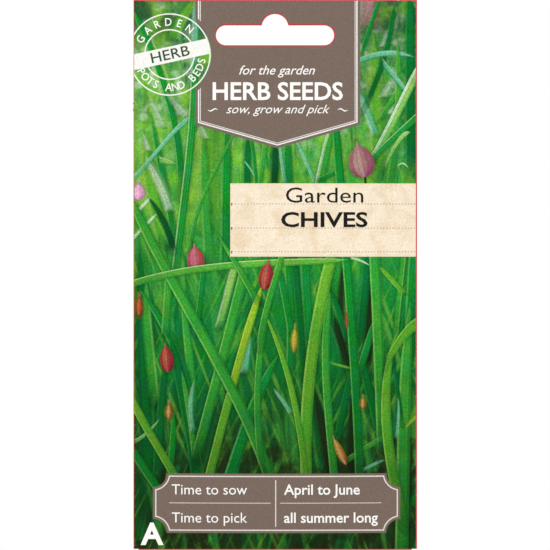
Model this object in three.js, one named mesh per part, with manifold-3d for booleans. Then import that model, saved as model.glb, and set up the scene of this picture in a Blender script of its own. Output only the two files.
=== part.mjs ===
// A paper seed packet that hangs from a display hook. One printed sheet is folded into a flat tube, its side
// seam and its bottom flap are glued, and its header is glued shut round a punched hang slot. Inside lies a
// small glassine sachet with its mouth folded over, and loose chive seeds have settled at the sachet's foot.
//
// Millimetres, +Z up. The front faces -Y. The origin is the top of the hang slot, where the hook bears, halfway
// through the header's thickness.
import * as THREE from "three";
import { mergeVertices } from "three/addons/utils/BufferGeometryUtils.js";
import Module from "manifold-3d";

// The packet.
const WIDTH = 82.5;
const HEIGHT = 160;
const PAPER = 0.12; // sheet thickness
const GLUE_GAP = 0.1; // between two glued layers of paper
const GLUE = 0.05; // thickness of a glue film in that gap
const HEADER = 30; // height of the glued header
const BELLY = 4.2; // how far the walls stand apart at the fullest point
const BELLY_FRONT = 0.56; // the front wall's share of it
const BELLY_RISE = 1.2; // exponents of the belly's rise below the header and fall to the bottom edge
const BELLY_FALL = 0.6;
const EDGE_GAP = 0.22; // half the distance between the walls' mid-surfaces at the folds

// The hang slot: a bar with round ends, and a round lobe above it that takes the hook.
const SLOT_WIDTH = 34.4;
const SLOT_BAR = 5.8;
const SLOT_LOBE_RADIUS = 3.9;
const SLOT_LOBE_DROP = 0.6; // how far the lobe's centre lies below the bar's top
const SLOT_TO_TOP = 4.1; // from the lobe's top to the packet's top edge

// The flaps.
const SEAM_FLAP = 11; // width of the glue flap inside the side seam
const SEAM_FLAP_CUT = 6; // how much shorter its free edge is at each end
const SEAM_SETBACK = 0.8; // from the fold to the back wall's free edge
const BOTTOM_FLAP = 14;
const BOTTOM_FLAP_INSET = 1.5;
const BOTTOM_FLAP_TAPER = 0.06;

// The inner sachet and the seeds.
const SACHET_WIDTH = 58;
const SACHET_HEIGHT = 84;
const SACHET_FILM = 0.08;
const SACHET_FLAP = 16;
const SACHET_LIFT = 6; // above the packet's bottom edge
const SACHET_EDGE = 0.12; // half the gap between its films at the edges
const SACHET_FILL = 0.4; // share of the belly that each half of the sachet takes
const SEED_ROWS = [12, 11, 10, 7]; // seeds in each row, from the bottom
const SEED_PITCH = 3.2;
const SEED_HALF = [1.4, 0.5, 0.95]; // half length, half thickness and half width of a seed

const PAPER_COLOUR = 0x4d9a33;
const SACHET_COLOUR = 0xe8e2d2;
const GLUE_COLOUR = 0xefe9d8;
const SEED_COLOUR = 0x15130f;

const TOP = SLOT_TO_TOP;
const BOTTOM = TOP - HEIGHT;
const HEADER_FOOT = TOP - HEADER;
const LAYER = PAPER + GLUE_GAP; // from one glued layer's mid-surface to the next
const SEAM_FOLD_X = -WIDTH / 2 + EDGE_GAP - LAYER / 2; // where the front starts to turn into the seam flap
const SIDE_FOLD_X = WIDTH / 2 - EDGE_GAP; // where the front starts to turn into the back
const BOTTOM_FOLD = EDGE_GAP + LAYER / 2; // radius of the bottom fold
const FOOT = BOTTOM + BOTTOM_FOLD; // where the walls end and the bottom fold starts

const wasm = await Module();
wasm.setup();

// How far apart the walls stand at x, z, beyond the distance they keep at the folds.
function belly(x, z) {
  const across = Math.max(0, 1 - (2 * x / WIDTH) ** 2);
  const down = Math.min(1, Math.max(0, (HEADER_FOOT - z) / (HEADER_FOOT - BOTTOM)));
  const fullest = BELLY_RISE / (BELLY_RISE + BELLY_FALL);
  const shape = (t) => t ** BELLY_RISE * (1 - t) ** BELLY_FALL;
  return BELLY * across * shape(down) / shape(fullest);
}
const frontWall = (x, z) => -EDGE_GAP - BELLY_FRONT * belly(x, z);
const backWall = (x, z) => EDGE_GAP + (1 - BELLY_FRONT) * belly(x, z);

// Evenly spaced values from a to b, both included.
const steps = (a, b, n) => Array.from({ length: n + 1 }, (_, i) => a + (b - a) * i / n);

// A closed sheet of the given thickness round a grid of mid-surface points. cell(i, j) says whether the cell
// between rows i and i+1 and columns j and j+1 is there.
function sheet(points, thickness, cell = () => true) {
  const rows = points.length;
  const columns = points[0].length;
  const there = (i, j) => i >= 0 && j >= 0 && i < rows - 1 && j < columns - 1 && cell(i, j);
  const used = (i, j) => there(i, j) || there(i - 1, j) || there(i, j - 1) || there(i - 1, j - 1);
  // The nearest used point in a direction, or the point itself.
  const beside = (i, j, di, dj) => {
    const inGrid = i + di >= 0 && j + dj >= 0 && i + di < rows && j + dj < columns;
    return inGrid && used(i + di, j + dj) && points[i + di][j + dj] ? points[i + di][j + dj] : points[i][j];
  };
  const vertices = [];
  const number = [];
  for (let i = 0; i < rows; i++) {
    number.push([]);
    for (let j = 0; j < columns; j++) {
      if (!used(i, j)) continue;
      number[i][j] = vertices.length / 3;
      const across = beside(i, j, 0, 1).clone().sub(beside(i, j, 0, -1));
      const up = beside(i, j, 1, 0).clone().sub(beside(i, j, -1, 0));
      const normal = across.cross(up).setLength(thickness / 2);
      vertices.push(...points[i][j].clone().add(normal).toArray());
      vertices.push(...points[i][j].clone().sub(normal).toArray());
    }
  }
  const faces = [];
  const quad = (a, b, c, d) => faces.push(a, b, c, a, c, d);
  for (let i = 0; i < rows - 1; i++) {
    for (let j = 0; j < columns - 1; j++) {
      if (!there(i, j)) continue;
      const corners = [number[i][j], number[i][j + 1], number[i + 1][j + 1], number[i + 1][j]];
      const beyond = [there(i - 1, j), there(i, j + 1), there(i + 1, j), there(i, j - 1)];
      quad(...corners);
      quad(...corners.map((n) => n + 1).reverse());
      beyond.forEach((joined, side) => {
        const a = corners[side];
        const b = corners[(side + 1) % 4];
        if (!joined) quad(a, a + 1, b + 1, b);
      });
    }
  }
  const geometry = new THREE.BufferGeometry();
  geometry.setAttribute("position", new THREE.Float32BufferAttribute(vertices, 3));
  geometry.setIndex(faces);
  return geometry;
}

// The hang slot's outline, grown by a margin on every side.
function slotOutline(PathType, margin = 0) {
  const end = SLOT_BAR / 2 + margin;
  const barTop = SLOT_LOBE_DROP - SLOT_LOBE_RADIUS;
  const barMiddle = barTop - SLOT_BAR / 2;
  const endX = SLOT_WIDTH / 2 - SLOT_BAR / 2;
  const lobe = SLOT_LOBE_RADIUS + margin;
  const meet = Math.asin((SLOT_LOBE_DROP + margin) / lobe);
  const path = new PathType();
  path.absarc(endX, barMiddle, end, -Math.PI / 2, Math.PI / 2);
  path.absarc(0, -SLOT_LOBE_RADIUS, lobe, meet, Math.PI - meet);
  path.absarc(-endX, barMiddle, end, Math.PI / 2, Math.PI * 1.5);
  path.closePath();
  return path;
}

// A shape drawn in x and z, extruded along Y from -depth/2 to depth/2.
function upright(shape, depth, curveSegments) {
  const geometry = new THREE.ExtrudeGeometry(shape, { depth, bevelEnabled: false, curveSegments });
  return geometry.translate(0, 0, -depth / 2).rotateX(Math.PI / 2);
}

function toSolid(geometry) {
  const bare = geometry.clone();
  bare.deleteAttribute("normal");
  bare.deleteAttribute("uv");
  const merged = mergeVertices(bare, 1e-4);
  const vertProperties = merged.attributes.position.array;
  const triVerts = new Uint32Array(merged.index.array);
  return new wasm.Manifold(new wasm.Mesh({ numProp: 3, vertProperties, triVerts }));
}

function fromSolid(solid) {
  const mesh = solid.getMesh();
  const geometry = new THREE.BufferGeometry();
  geometry.setAttribute("position", new THREE.BufferAttribute(mesh.vertProperties, 3));
  return geometry.setIndex(new THREE.BufferAttribute(mesh.triVerts, 1));
}

// The envelope: the printed sheet, folded. Its columns run from the seam flap's free edge over the seam fold,
// the front, the side fold and the back to the back's free edge; its rows run from the bottom flap's free edge
// round the bottom fold and up the walls.
function envelope() {
  const frontX = [SEAM_FOLD_X, -WIDTH / 2 + BOTTOM_FLAP_INSET, ...steps(-36, 36, 14),
    WIDTH / 2 - BOTTOM_FLAP_INSET, SIDE_FOLD_X];
  const columns = [
    ...steps(SEAM_FOLD_X + SEAM_FLAP, SEAM_FOLD_X, 3).slice(0, -1).map((x) => ({ part: "seamFlap", x })),
    ...steps(Math.PI, 0, 4).slice(0, -1).map((turn) => ({ part: "seamFold", x: SEAM_FOLD_X, turn })),
    ...frontX.map((x) => ({ part: "front", x })),
    ...steps(0, Math.PI, 6).slice(1, -1).map((turn) => ({ part: "sideFold", x: SIDE_FOLD_X, turn })),
    ...steps(SIDE_FOLD_X, 36, 1).map((x) => ({ part: "back", x })),
    ...steps(36, -36, 14).slice(1).map((x) => ({ part: "back", x })),
    { part: "back", x: -WIDTH / 2 + SEAM_SETBACK },
  ];
  const rows = [
    ...steps(FOOT + BOTTOM_FLAP, FOOT, 4).slice(0, -1).map((z) => ({ part: "bottomFlap", z })),
    ...steps(Math.PI, 0, 4).slice(0, -1).map((turn) => ({ part: "bottomFold", z: FOOT, turn })),
    ...[FOOT, BOTTOM + 2, BOTTOM + 5, BOTTOM + 9].map((z) => ({ part: "wall", z })),
    ...steps(FOOT + BOTTOM_FLAP, HEADER_FOOT, 16).map((z) => ({ part: "wall", z })),
    { part: "wall", z: TOP },
  ];
  const seamMiddle = (BOTTOM + 2 + HEADER_FOOT) / 2;
  const seamHalf = (HEADER_FOOT - BOTTOM - 2) / 2;

  // Half an ellipse from the front wall round to another layer.
  const wrap = (from, to, turn) => (from + to) / 2 - (to - from) / 2 * Math.cos(turn);

  function place(row, column) {
    const { x, turn } = column;
    const { z } = row;
    if (row.part === "bottomFlap") {
      const narrowed = x * (1 - BOTTOM_FLAP_TAPER * (z - FOOT) / BOTTOM_FLAP);
      return new THREE.Vector3(narrowed, backWall(narrowed, z) + LAYER, z);
    }
    if (row.part === "bottomFold") {
      const y = wrap(frontWall(x, z), backWall(x, z) + LAYER, row.turn);
      return new THREE.Vector3(x, y, z - BOTTOM_FOLD * Math.sin(row.turn));
    }
    if (column.part === "front") return new THREE.Vector3(x, frontWall(x, z), z);
    if (column.part === "back") return new THREE.Vector3(x, backWall(x, z), z);
    if (column.part === "sideFold") {
      const y = wrap(frontWall(x, z), backWall(x, z), turn);
      return new THREE.Vector3(x + EDGE_GAP * Math.sin(turn), y, z);
    }
    if (column.part === "seamFold") {
      const y = wrap(frontWall(x, z), backWall(x, z) - LAYER, turn);
      return new THREE.Vector3(x - (EDGE_GAP - LAYER / 2) * Math.sin(turn), y, z);
    }
    const cut = 1 - SEAM_FLAP_CUT / seamHalf * (x - SEAM_FOLD_X) / SEAM_FLAP;
    const cutZ = seamMiddle + (z - seamMiddle) * cut;
    return new THREE.Vector3(x, backWall(x, cutZ) - LAYER, cutZ);
  }

  function cell(i, j) {
    const [row, above] = [rows[i], rows[i + 1]];
    const [column, next] = [columns[j], columns[j + 1]];
    const walls = row.part === "wall";
    const inFlap = Math.max(Math.abs(column.x), Math.abs(next.x)) <= WIDTH / 2 - BOTTOM_FLAP_INSET;
    if (column.part === "front" && next.part === "front") return walls || inFlap;
    if (column.part.startsWith("seam")) return walls && row.z >= BOTTOM + 2 && above.z <= HEADER_FOOT;
    return walls;
  }

  const folded = sheet(rows.map((row) => columns.map((column) => place(row, column))), PAPER, cell);
  const punch = toSolid(upright(slotOutline(THREE.Shape), 8, 16));
  return fromSolid(toSolid(folded).subtract(punch));
}

// A glue film between two layers: a sheet on the surface that y(x, z) gives.
function glueFilm(xs, zs, y) {
  return sheet(zs.map((z) => xs.map((x) => new THREE.Vector3(x, y(x, z), z))), GLUE);
}
const seamGlue = () => glueFilm(
  steps(SEAM_FOLD_X + 2, SEAM_FOLD_X + 8, 2),
  steps(BOTTOM + 8, HEADER_FOOT - 8, 14),
  (x, z) => backWall(x, z) - LAYER / 2,
);
const bottomFlapGlue = () => glueFilm(
  steps(-36, 36, 14),
  steps(FOOT + 3, FOOT + BOTTOM_FLAP - 3, 3),
  (x, z) => backWall(x, z) + LAYER / 2,
);

// The glue that closes the header, kept back from its edges and from the slot.
function headerGlue() {
  const edge = 2;
  const shape = new THREE.Shape();
  shape.moveTo(-WIDTH / 2 + edge, HEADER_FOOT + 1);
  shape.lineTo(WIDTH / 2 - edge, HEADER_FOOT + 1);
  shape.lineTo(WIDTH / 2 - edge, TOP - 1);
  shape.lineTo(-WIDTH / 2 + edge, TOP - 1);
  shape.closePath();
  shape.holes.push(slotOutline(THREE.Path, 1.2));
  return upright(shape, 2 * EDGE_GAP - PAPER - 0.08, 12);
}

// The sachet: one strip of glassine, from the front's top edge down, round the bottom fold, up the back, over
// the top fold and down as a flap over the front.
const SACHET_BOTTOM = BOTTOM + SACHET_LIFT;
const SACHET_TOP = SACHET_BOTTOM + SACHET_HEIGHT;
const sachetMiddle = (x, z) => (frontWall(x, z) + backWall(x, z)) / 2;
function sachetHalf(x, z) {
  const across = 1 - (2 * x / SACHET_WIDTH) ** 4;
  const along = 1 - (2 * (z - SACHET_BOTTOM) / SACHET_HEIGHT - 1) ** 8;
  return SACHET_EDGE + SACHET_FILL * belly(x, z) * across * along;
}
function innerSachet() {
  const xs = steps(-SACHET_WIDTH / 2, SACHET_WIDTH / 2, 12);
  const lifts = [0, 1.5, 4, 8, ...steps(14, SACHET_HEIGHT - 4, 8), SACHET_HEIGHT];
  const heights = lifts.map((lift) => SACHET_BOTTOM + lift);
  const flapGap = SACHET_FILM + 0.12;
  const stations = [
    ...heights.toReversed().map((z) => ({ z, side: -1 })),
    ...steps(0, Math.PI, 4).slice(1, -1).map((turn) => ({ z: SACHET_BOTTOM, turn, out: -1, far: 0 })),
    ...heights.map((z) => ({ z, side: 1 })),
    ...steps(Math.PI, 0, 4).slice(1, -1).map((turn) => ({ z: SACHET_TOP, turn, out: 1, far: flapGap })),
    ...steps(SACHET_TOP, SACHET_TOP - SACHET_FLAP, 4).map((z) => ({ z, side: -1, flap: flapGap })),
  ];
  const points = stations.map(({ z, side, turn, out, far, flap = 0 }) => xs.map((x) => {
    const half = sachetHalf(x, z);
    if (turn === undefined) return new THREE.Vector3(x, sachetMiddle(x, z) + side * (half + flap), z);
    const radius = half + far / 2;
    const y = sachetMiddle(x, z) - far / 2 - radius * Math.cos(turn);
    return new THREE.Vector3(x, y, z + out * radius * Math.sin(turn));
  }));
  return sheet(points, SACHET_FILM);
}

// One chive seed: a small black wedge, pointed at one end, with one flat and one rounded side.
function seedGeometry() {
  const ball = new THREE.IcosahedronGeometry(1, 1).deleteAttribute("normal").deleteAttribute("uv");
  const geometry = mergeVertices(ball, 1e-4);
  const position = geometry.attributes.position;
  const [length, thickness, width] = SEED_HALF;
  for (let i = 0; i < position.count; i++) {
    const [x, y, z] = [position.getX(i), position.getY(i), position.getZ(i)];
    const pinch = 1 - 0.45 * Math.max(0, x) ** 2;
    const flat = z < 0 ? 0.55 : 1;
    position.setXYZ(i, length * x, thickness * y * pinch, width * z * pinch * flat);
  }
  return geometry;
}

// A repeatable number from 0 to 1 for seed n.
const scatter = (n, key) => Math.abs(Math.sin(n * 12.9898 + key * 78.233) * 43758.5453) % 1;

function seeds() {
  const group = new THREE.Group();
  const material = new THREE.MeshStandardMaterial({ color: SEED_COLOUR, roughness: 0.6 });
  let n = 0;
  SEED_ROWS.forEach((count, row) => {
    for (let k = 0; k < count; k++) {
      n += 1;
      const seed = new THREE.Mesh(seedGeometry(), material);
      const x = (k - (count - 1) / 2) * SEED_PITCH;
      const z = SACHET_BOTTOM + 4.5 + row * SEED_PITCH;
      seed.name = `seed_${String(n).padStart(2, "0")}`;
      seed.position.set(x, sachetMiddle(x, z), z);
      seed.rotation.y = scatter(n, 1) * Math.PI * 2;
      group.add(seed);
    }
  });
  return group;
}

const paper = new THREE.MeshStandardMaterial({ color: PAPER_COLOUR, roughness: 0.55 });
const glassine = new THREE.MeshStandardMaterial({ color: SACHET_COLOUR, roughness: 0.45 });
const glue = new THREE.MeshStandardMaterial({ color: GLUE_COLOUR, roughness: 0.3 });

function named(name, geometry, material) {
  const mesh = new THREE.Mesh(geometry, material);
  mesh.name = name;
  return mesh;
}

const packet = new THREE.Group();
packet.add(
  named("envelope", envelope(), paper),
  named("header_glue", headerGlue(), glue),
  named("seam_glue", seamGlue(), glue),
  named("bottom_flap_glue", bottomFlapGlue(), glue),
  named("inner_sachet", innerSachet(), glassine),
  seeds(),
);

export default packet;
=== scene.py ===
import math
import random

import bmesh
import bpy
import numpy as np
from mathutils import Matrix, Vector
from mathutils.bvhtree import BVHTree
from mathutils.geometry import delaunay_2d_cdt


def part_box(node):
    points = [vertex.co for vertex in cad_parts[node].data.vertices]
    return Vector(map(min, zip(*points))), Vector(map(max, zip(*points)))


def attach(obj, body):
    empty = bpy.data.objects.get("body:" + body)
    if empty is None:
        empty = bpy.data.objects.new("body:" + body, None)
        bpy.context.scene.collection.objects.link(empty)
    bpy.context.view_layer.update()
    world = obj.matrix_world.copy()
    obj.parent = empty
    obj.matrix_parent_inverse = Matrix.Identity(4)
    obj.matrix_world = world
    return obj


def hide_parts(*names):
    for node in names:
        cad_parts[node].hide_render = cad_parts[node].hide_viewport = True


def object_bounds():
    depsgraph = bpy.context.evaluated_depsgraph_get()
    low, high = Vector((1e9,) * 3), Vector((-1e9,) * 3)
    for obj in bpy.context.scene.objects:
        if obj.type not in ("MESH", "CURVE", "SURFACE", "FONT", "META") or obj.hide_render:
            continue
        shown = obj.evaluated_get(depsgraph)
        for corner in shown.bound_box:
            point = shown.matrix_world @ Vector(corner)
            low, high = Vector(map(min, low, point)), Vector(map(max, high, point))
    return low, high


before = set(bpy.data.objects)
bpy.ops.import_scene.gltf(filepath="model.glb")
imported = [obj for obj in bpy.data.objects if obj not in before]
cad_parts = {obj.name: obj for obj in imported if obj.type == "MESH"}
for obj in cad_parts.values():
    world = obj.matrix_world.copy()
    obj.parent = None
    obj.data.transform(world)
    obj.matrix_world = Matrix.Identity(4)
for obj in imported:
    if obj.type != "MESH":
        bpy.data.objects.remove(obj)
cad_low, cad_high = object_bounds()


# ---- The studio ----
# The packet hangs in front of a pale sweep, square to a long lens. Two large soft lamps and an even pale
# surround light it as a copy stand lights flat work, and a plain floor lies well below it.
scene = bpy.context.scene
scene.view_settings.view_transform = "Standard"
packet_middle = (cad_low + cad_high) / 2
packet_height = cad_high.z - cad_low.z

lens = bpy.data.cameras.new("copy_lens")
lens.lens = 135
lens.clip_start = 0.01


def put(name, data):
    thing = bpy.data.objects.new(name, data)
    scene.collection.objects.link(thing)
    return thing


camera = put("copy_camera", lens)
camera.location = (0, -packet_height * lens.lens / lens.sensor_width, packet_middle.z)
camera.rotation_euler = (math.radians(90), 0, 0)
scene.camera = camera

surround = bpy.data.worlds.new("pale_surround")
surround.use_nodes = True
glow = surround.node_tree.nodes["Background"]
glow.inputs["Color"].default_value = (1, 1, 1, 1)
glow.inputs["Strength"].default_value = 1.0
scene.world = surround


def soft_lamp(name, place, size, watts):
    lamp = bpy.data.lights.new(name, "AREA")
    lamp.size = size
    lamp.energy = watts
    light = put(name, lamp)
    light.location = place
    light.rotation_euler = (packet_middle - Vector(place)).to_track_quat("-Z", "Y").to_euler()


soft_lamp("key_lamp", (-0.55, -0.75, 0.35), 0.5, 1.6)
soft_lamp("back_lamp", (0.6, 0.7, 0.3), 0.5, 1.4)

floor_mesh = bpy.data.meshes.new("floor")
floor_form = bmesh.new()
FLOOR_RADIUS = 0.45
FLOOR_DROP = 0.09
bmesh.ops.create_circle(floor_form, cap_ends=True, radius=FLOOR_RADIUS, segments=96)
floor_form.to_mesh(floor_mesh)
floor = put("floor", floor_mesh)
floor.location = (0, 0.05, cad_low.z - FLOOR_DROP)
floor_paint = bpy.data.materials.new("pale_floor")
floor_paint.use_nodes = True
matt = floor_paint.node_tree.nodes["Principled BSDF"]
matt.inputs["Base Color"].default_value = (0.8, 0.8, 0.79, 1)
matt.inputs["Roughness"].default_value = 0.8
floor_mesh.materials.append(floor_paint)


# ---- The folded sheet: its shape ----
# One sheet of coated paper, cut and creased flat. It is folded round its long sides into a tube, its side
# seam is glued over an inner flap, its foot is folded up over the back, and its header is glued flat and
# punched for a display hook. The walls swell gently over the sachet inside.
MM = 0.001
PAPER = 0.12
LAYER = 0.22  # from one glued layer's middle to the next
EDGE_GAP = 0.22
HEADER = 30
BELLY = 4.2
FRONT_SHARE = 0.56
BELLY_RISE = 1.2
BELLY_FALL = 0.6
SLOT_WIDTH = 34.4
SLOT_BAR = 5.8
SLOT_LOBE = 3.9
SLOT_LOBE_DROP = 0.6
SEAM_FLAP = 11
SEAM_FLAP_CUT = 6
SEAM_LIFT = 2
SEAM_SETBACK = 0.8
BOTTOM_FLAP = 14
FLAP_INSET = 1.5
FLAP_TAPER = 0.06
SACHET_HALF_WIDTH = 29
SACHET_HEIGHT = 84
SACHET_LIFT = 6

envelope_low, envelope_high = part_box("envelope")
HALF_WIDTH = round(envelope_high.x / MM - PAPER / 2, 2)
TOP = round(envelope_high.z / MM, 2)
BOTTOM = round(envelope_low.z / MM + PAPER / 2, 2)
HEIGHT = TOP - BOTTOM
HEADER_FOOT = TOP - HEADER
SEAM_FOLD_X = -HALF_WIDTH + EDGE_GAP - LAYER / 2
SIDE_FOLD_X = HALF_WIDTH - EDGE_GAP
FOOT_RADIUS = EDGE_GAP + LAYER / 2
FOOT = BOTTOM + FOOT_RADIUS


def smooth(value, low, high):
    t = np.clip((value - low) / (high - low), 0, 1)
    return t * t * (3 - 2 * t)


def belly(x, z):
    across = np.maximum(0, 1 - (x / HALF_WIDTH) ** 2)
    down = np.clip((HEADER_FOOT - z) / (HEADER_FOOT - BOTTOM), 0, 1)
    fullest = BELLY_RISE / (BELLY_RISE + BELLY_FALL)
    peak = fullest ** BELLY_RISE * (1 - fullest) ** BELLY_FALL
    return BELLY * across * down ** BELLY_RISE * (1 - down) ** BELLY_FALL / peak


# What the flat sheet shows of handling and of the sachet behind it: a soft step at the sachet's outline, a
# slight waviness, and a dent or two where fingers held it.
def relief(x, z, side):
    across = np.maximum(0, 1 - (x / HALF_WIDTH) ** 2)
    height = z - BOTTOM
    over_sachet = smooth(SACHET_HALF_WIDTH + 1 - np.abs(x), 0, 2.5)
    over_sachet = over_sachet * smooth(height, SACHET_LIFT - 1, SACHET_LIFT + 3)
    over_sachet = over_sachet * smooth(SACHET_LIFT + SACHET_HEIGHT + 1 - height, 0, 3)
    waves = 0.05 * np.sin(x / 7.3 + side + height / 23) * np.sin(height / 11 + 2 * side)
    waves = waves + 0.03 * np.sin(x / 3.9 - height / 17 + side)
    finger = 0.35 * np.exp(-((x - 24 * side) ** 2 + (height - 112) ** 2) / 90)
    below_header = smooth(HEADER_FOOT - z, 0, 12) * smooth(height, 0, 4)
    return across * below_header * (0.14 * over_sachet + waves - finger)


def front_y(x, z):
    return -EDGE_GAP - FRONT_SHARE * belly(x, z) - relief(x, z, 1)


def back_y(x, z):
    return EDGE_GAP + (1 - FRONT_SHARE) * belly(x, z) + relief(x, z, -1)


def wrap(start, end, turn):
    return (start + end) / 2 - (end - start) / 2 * math.cos(turn)


# Where a crossing of one of the blank's columns and one of its rows lies once the sheet is folded.
def folded(column, row):
    part, x, turn = column
    level, z, foot_turn = row
    if level == "foot_flap":
        narrowed = x * (1 - FLAP_TAPER * (z - FOOT) / BOTTOM_FLAP)
        return narrowed, back_y(narrowed, z) + LAYER, z
    if level == "foot_fold":
        y = wrap(front_y(x, z), back_y(x, z) + LAYER, foot_turn)
        return x, y, z - FOOT_RADIUS * math.sin(foot_turn)
    if part == "front":
        return x, front_y(x, z), z
    if part == "back":
        return x, back_y(x, z), z
    if part == "side_fold":
        return x + EDGE_GAP * math.sin(turn), wrap(front_y(x, z), back_y(x, z), turn), z
    if part == "seam_fold":
        y = wrap(front_y(x, z), back_y(x, z) - LAYER, turn)
        return x - (EDGE_GAP - LAYER / 2) * math.sin(turn), y, z
    seam_middle = (BOTTOM + SEAM_LIFT + HEADER_FOOT) / 2
    seam_half = (HEADER_FOOT - BOTTOM - SEAM_LIFT) / 2
    cut = 1 - SEAM_FLAP_CUT / seam_half * (x - SEAM_FOLD_X) / SEAM_FLAP
    cut_z = seam_middle + (z - seam_middle) * cut
    return x, back_y(x, cut_z) - LAYER, cut_z


# The hang slot's outline, grown by a margin: a bar with round ends and a round lobe above it.
def slot_outline(margin=0.0, step=0.12):
    end = SLOT_BAR / 2 + margin
    middle = SLOT_LOBE_DROP - SLOT_LOBE - SLOT_BAR / 2
    end_x = SLOT_WIDTH / 2 - SLOT_BAR / 2
    lobe = SLOT_LOBE + margin
    meet = math.asin((SLOT_LOBE_DROP + margin) / lobe)
    points = []
    for centre_x, centre_z, radius, start, stop in (
        (end_x, middle, end, -math.pi / 2, math.pi / 2),
        (0, -SLOT_LOBE, lobe, meet, math.pi - meet),
        (-end_x, middle, end, math.pi / 2, math.pi * 1.5),
    ):
        for angle in np.arange(start, stop + step / 2, (stop - start) / round((stop - start) / step)):
            points.append((centre_x + radius * math.cos(angle), centre_z + radius * math.sin(angle)))
    return points


def inside(points, x, z):
    crossings = 0
    for (x0, z0), (x1, z1) in zip(points, points[1:] + points[:1]):
        if (z0 > z) != (z1 > z) and x < x0 + (z - z0) / (z1 - z0) * (x1 - x0):
            crossings += 1
    return crossings % 2 == 1


BLOCK_X = 19.5  # the plain grid stops this far from the slot, and triangles fill the rest
BLOCK_LOW = -10.9
BLOCK_HIGH = 1.6
STEP = 1.5
FOOT_ZONE = 3  # the grid is finer this far up from the foot
NEAR = 0.01
SLOT_MARGIN = 0.6
HALFWAY_ROUND = 1.4  # the turn up to which a fold still belongs to the face it starts from


# Grid lines from the first stop to the last, evenly spaced between each two stops; the last is left out.
def grid_lines(*stops):
    lines = []
    for start, end in zip(stops, stops[1:]):
        lines += list(np.linspace(start, end, round((end - start) / STEP) + 1)[:-1])
    return lines


CORNER_X = HALF_WIDTH - FLAP_INSET
front_lines = [SEAM_FOLD_X] + grid_lines(-CORNER_X, -BLOCK_X, BLOCK_X, CORNER_X) + [CORNER_X, SIDE_FOLD_X]
wall_lines = list(np.linspace(FOOT, FOOT + FOOT_ZONE, 5)[:-1])
wall_lines += grid_lines(FOOT + FOOT_ZONE, HEADER_FOOT, BLOCK_LOW, BLOCK_HIGH, TOP) + [TOP]

columns = [("seam_flap", x, 0) for x in np.linspace(SEAM_FOLD_X + SEAM_FLAP, SEAM_FOLD_X, 8)[:-1]]
columns += [("seam_fold", SEAM_FOLD_X, turn) for turn in np.linspace(math.pi, 0, 9)[:-1]]
columns += [("front", x, 0) for x in front_lines]
columns += [("side_fold", SIDE_FOLD_X, turn) for turn in np.linspace(0, math.pi, 11)[1:-1]]
columns += [("back", x, 0) for x in front_lines[:0:-1] if x > -HALF_WIDTH + SEAM_SETBACK]
columns.append(("back", -HALF_WIDTH + SEAM_SETBACK, 0))
rows = [("foot_flap", z, 0) for z in np.linspace(FOOT + BOTTOM_FLAP, FOOT, 11)[:-1]]
rows += [("foot_fold", FOOT, turn) for turn in np.linspace(math.pi, 0, 9)[:-1]]
rows += [("wall", z, 0) for z in wall_lines]


def in_sheet(i, j):
    if not (0 <= i < len(rows) - 1 and 0 <= j < len(columns) - 1):
        return False
    low, high, left, right = rows[i], rows[i + 1], columns[j], columns[j + 1]
    on_wall = low[0] == "wall"
    if left[0] == right[0] == "front":
        return on_wall or max(abs(left[1]), abs(right[1])) < CORNER_X + NEAR
    if left[0].startswith("seam"):
        return on_wall and low[1] > BOTTOM + SEAM_LIFT and high[1] < HEADER_FOOT + NEAR
    return on_wall


def in_block(i, j):
    if rows[i][0] != "wall" or columns[j][0] != columns[j + 1][0] or columns[j][0] not in ("front", "back"):
        return False
    near_x = max(abs(columns[j][1]), abs(columns[j + 1][1])) < BLOCK_X + NEAR
    return near_x and rows[i][1] > BLOCK_LOW - NEAR and rows[i + 1][1] < BLOCK_HIGH + NEAR


place = np.array([[folded(column, row) for column in columns] for row in rows])
cell = np.array([[in_sheet(i, j) for j in range(len(columns))] for i in range(len(rows))])
used = cell.copy()
used[1:] |= cell[:-1]
used[:, 1:] |= cell[:, :-1]
used[1:, 1:] |= cell[:-1, :-1]

# How far along the flat blank each column and row lies.
walk = np.diff(place[-1], axis=0)
blank_u = np.concatenate([[0], np.cumsum(np.hypot(walk[:, 0], walk[:, 1]))])
front_column = [c[0] for c in columns].index("front")
walk = np.diff(place[:, front_column + len(front_lines) // 2], axis=0)
blank_v = np.concatenate([[0], np.cumsum(np.hypot(walk[:, 1], walk[:, 2]))])

points, leans, flat, number = [], [], [], {}
for i in range(len(rows)):
    for j in range(len(columns)):
        if not used[i, j]:
            continue
        left = place[i, j - 1] if j and used[i, j - 1] else place[i, j]
        right = place[i, j + 1] if j + 1 < len(columns) and used[i, j + 1] else place[i, j]
        under = place[i - 1, j] if i and used[i - 1, j] else place[i, j]
        over = place[i + 1, j] if i + 1 < len(rows) and used[i + 1, j] else place[i, j]
        lean = np.cross(right - left, over - under)
        number[i, j] = len(points)
        points.append(place[i, j])
        leans.append(lean / np.linalg.norm(lean))
        flat.append((blank_u[j], blank_v[i]))

polygons, printed_side = [], []
for i in range(len(rows) - 1):
    for j in range(len(columns) - 1):
        if cell[i, j] and not in_block(i, j):
            polygons.append([number[i, j], number[i, j + 1], number[i + 1, j + 1], number[i + 1, j]])
            part, level = columns[j][0], rows[i][0]
            faces_front = part == "front" or (part == "side_fold" and columns[j][2] < HALFWAY_ROUND)
            on_foot_flap = level == "foot_flap" or (level == "foot_fold" and rows[i][2] > HALFWAY_ROUND)
            printed_side.append("front" if faces_front and not on_foot_flap else "back")

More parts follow.
